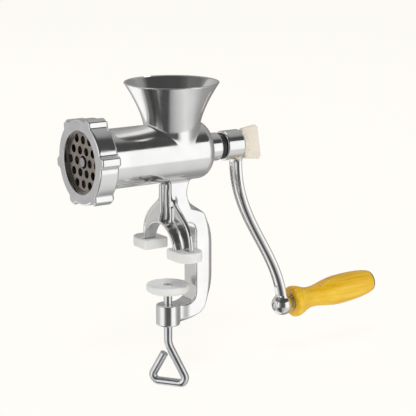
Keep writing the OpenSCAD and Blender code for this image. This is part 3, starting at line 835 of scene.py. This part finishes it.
carried = {
    "rear_bush": "black_nylon", "plate_key": "zinc_steel", "cutter_pin": "cutter_steel",
    "cutter_blade": "cutter_steel", "thrust_washer": "white_plastic", "hole_plate": "plate_steel",
    "hub_washer": "zinc_steel", "thumb_screw_stud": "zinc_steel", "spindle_washer": "zinc_steel",
    "disc_retainer": "zinc_steel",
}
bevel_w, bevel_from = 0.18, radians(35)
for node, finish in carried.items():
    obj = frame["nodes"][node]
    for i in range(len(obj.data.materials)):
        obj.material_slots[i].material = finishes[finish]
    weld = obj.modifiers.new("weld", "WELD")
    weld.merge_threshold = 1e-6
    edge = obj.modifiers.new("edges", "BEVEL")
    edge.width, edge.segments = bevel_w * MM, 2
    edge.limit_method, edge.angle_limit = "ANGLE", bevel_from
    edge.use_clamp_overlap = True
    even_normals(obj)

# ---------------------------------------------------------------- stage, lights and camera

floor_z = screw_low[2] * MM


def stage_object(name, verts, faces):
    """A stage mesh that isn't part of the object, with a plain emission material."""
    mesh = bpy.data.meshes.new(name)
    mesh.from_pydata(verts, [], faces)
    obj = bpy.data.objects.new(name, mesh)
    bpy.context.scene.collection.objects.link(obj)
    mat = bpy.data.materials.new(name)
    mat.use_nodes = True
    mat.node_tree.nodes.remove(mat.node_tree.nodes["Principled BSDF"])
    glow = mat.node_tree.nodes.new("ShaderNodeEmission")
    mat.node_tree.links.new(glow.outputs[0], mat.node_tree.nodes["Material Output"].inputs[0])
    mesh.materials.append(mat)
    return obj, mat.node_tree, glow


def reflected_only(obj):
    """Keeps a card out of the picture: it shows in the polished metal alone."""
    obj.visible_camera = False
    obj.visible_diffuse = False
    obj.visible_shadow = False
    obj.visible_transmission = False


def azimuth(tree, vector):
    """The compass direction of a vector round the vertical axis, as 0 to 1 from -180 to 180 degrees."""
    parts = tree.nodes.new("ShaderNodeSeparateXYZ")
    tree.links.new(vector, parts.inputs[0])
    turn = tree.nodes.new("ShaderNodeMath")
    turn.operation = "ARCTAN2"
    tree.links.new(parts.outputs[1], turn.inputs[0])
    tree.links.new(parts.outputs[0], turn.inputs[1])
    share = tree.nodes.new("ShaderNodeMapRange")
    tree.links.new(turn.outputs[0], share.inputs[0])
    share.inputs[1].default_value, share.inputs[2].default_value = -pi, pi
    return share.outputs[0]


def at_degrees(*stops):
    """Ramp stops given by compass direction."""
    return [((angle + 180) / 360, value) for angle, value in stops]


def ramp_node(tree, factor, stops):
    """A colour ramp through a list of (place, grey or colour)."""
    ramp = tree.nodes.new("ShaderNodeValToRGB")
    points = ramp.color_ramp.elements
    while len(points) < len(stops):
        points.new(0.5)
    for point, (place, value) in zip(points, stops):
        point.position = place
        point.color = (value, value, value, 1) if isinstance(value, float) else (*value, 1)
    tree.links.new(factor, ramp.inputs[0])
    return ramp.outputs[0]


# the floor: pale, lit mostly by itself so that it stays as even as the paper of a product photo
floor_half = 7.0
floor_corners = [(-floor_half, -floor_half, floor_z), (floor_half, -floor_half, floor_z),
                 (floor_half, floor_half, floor_z), (-floor_half, floor_half, floor_z)]
floor, tree, glow = stage_object("floor", floor_corners, [(0, 1, 2, 3)])
glow.inputs[0].default_value, glow.inputs[1].default_value = (0.99, 0.968, 0.918, 1), 0.945
matt = tree.nodes.new("ShaderNodeBsdfDiffuse")
matt.inputs[0].default_value = (0.10, 0.098, 0.092, 1)
both = tree.nodes.new("ShaderNodeAddShader")
tree.links.new(glow.outputs[0], both.inputs[0])
tree.links.new(matt.outputs[0], both.inputs[1])
tree.links.new(both.outputs[0], tree.nodes["Material Output"].inputs[0])
floor.visible_glossy = False

# a narrow softbox above the barrel, which makes the bright patch on its top
strip_z = 0.495
strip_corners = [(0.200, 0.04, strip_z), (0.236, 0.04, strip_z), (0.295, 0.29, strip_z),
                 (0.259, 0.29, strip_z)]
strip, tree, glow = stage_object("strip_box", strip_corners, [(0, 1, 2, 3)])
glow.inputs[0].default_value = (1, 1, 1, 1)
glow.inputs[1].default_value = 6.0
reflected_only(strip)


def soft_light(name, place, target, size, watts):
    """A square softbox that faces a target and isn't mirrored by the polished metal."""
    light = bpy.data.lights.new(name, "AREA")
    light.shape, light.size, light.energy = "SQUARE", size, watts
    obj = bpy.data.objects.new(name, light)
    obj.location = place
    obj.rotation_euler = (Vector(target) - Vector(place)).to_track_quat("-Z", "Y").to_euler()
    obj.visible_glossy = False
    bpy.context.scene.collection.objects.link(obj)


centre = (0.035, 0, 0.03)
soft_light("key", (-0.9, -1.3, 1.9), centre, 0.7, 23)
soft_light("fill", (1.6, -1.5, 1.2), centre, 1.2, 9)
soft_light("rim", (0.4, 1.8, 1.4), centre, 1.0, 8)

# the studio round the object: walls, ground and ceiling, each a ramp of greys by compass direction
world = bpy.data.worlds.new("studio")
bpy.context.scene.world = world
world.use_nodes = True
tree = world.node_tree
background = tree.nodes["Background"]
direction = tree.nodes.new("ShaderNodeTexCoord").outputs["Generated"]
split = tree.nodes.new("ShaderNodeSeparateXYZ")
tree.links.new(direction, split.inputs[0])
around = azimuth(tree, direction)
walls = ramp_node(tree, around, at_degrees(
    (-180, 0.92), (-164, 0.90), (-154, 0.34), (-144, 0.20), (-136, 0.09), (-98, 0.09), (-86, 0.75),
    (-76, 1.0), (-52, 1.0), (-40, 0.60), (-24, 0.34), (4, 0.26), (40, 0.22), (70, 0.34),
    (112, (0.54, 0.53, 0.52)), (146, 0.56), (166, 0.90)))
ground = ramp_node(tree, around, at_degrees(
    (-180, 0.14), (-168, 0.07), (-138, 0.07), (-125, 0.32), (-100, 0.50), (-60, 0.72), (-30, 0.60),
    (-4, 0.34), (30, 0.27), (60, 0.36), (82, 0.80), (92, 0.98), (116, 0.98), (132, 0.60), (155, 0.55),
    (170, 0.28)))
ceiling = ramp_node(tree, around, at_degrees(
    (-180, 0.10), (-150, 0.06), (-36, 0.06), (-20, 0.26), (0, 0.32), (57, 0.36), (100, 0.32),
    (140, 0.14)))


def zone(low, high, below, above):
    """Fades from one zone of the studio to the next over a range of height."""
    share = tree.nodes.new("ShaderNodeMapRange")
    tree.links.new(split.outputs[2], share.inputs[0])
    share.inputs[1].default_value, share.inputs[2].default_value = low, high
    mix = tree.nodes.new("ShaderNodeMix")
    mix.data_type = "RGBA"
    tree.links.new(share.outputs[0], mix.inputs[0])
    tree.links.new(below, mix.inputs[6])
    tree.links.new(above, mix.inputs[7])
    return mix.outputs[2]


tree.links.new(zone(0.45, 0.50, zone(-0.44, -0.36, ground, walls), ceiling), background.inputs[0])
background.inputs[1].default_value = 1.15

camera_turn, camera_rise, camera_away = radians(-33.04), radians(12.65), 1.23414
aim = Vector((0.03491, 0, 0.02882))
back = Vector((sin(camera_turn) * cos(camera_rise), -cos(camera_turn) * cos(camera_rise),
               sin(camera_rise)))
camera_data = bpy.data.cameras.new("camera")
camera_data.sensor_width = 36
camera_data.lens = 145.75
camera = bpy.data.objects.new("camera", camera_data)
camera.location = aim + back * camera_away
camera.rotation_euler = (-back).to_track_quat("-Z", "Y").to_euler()
bpy.context.scene.collection.objects.link(camera)
bpy.context.scene.camera = camera
bpy.context.scene.view_settings.view_transform = "Standard"
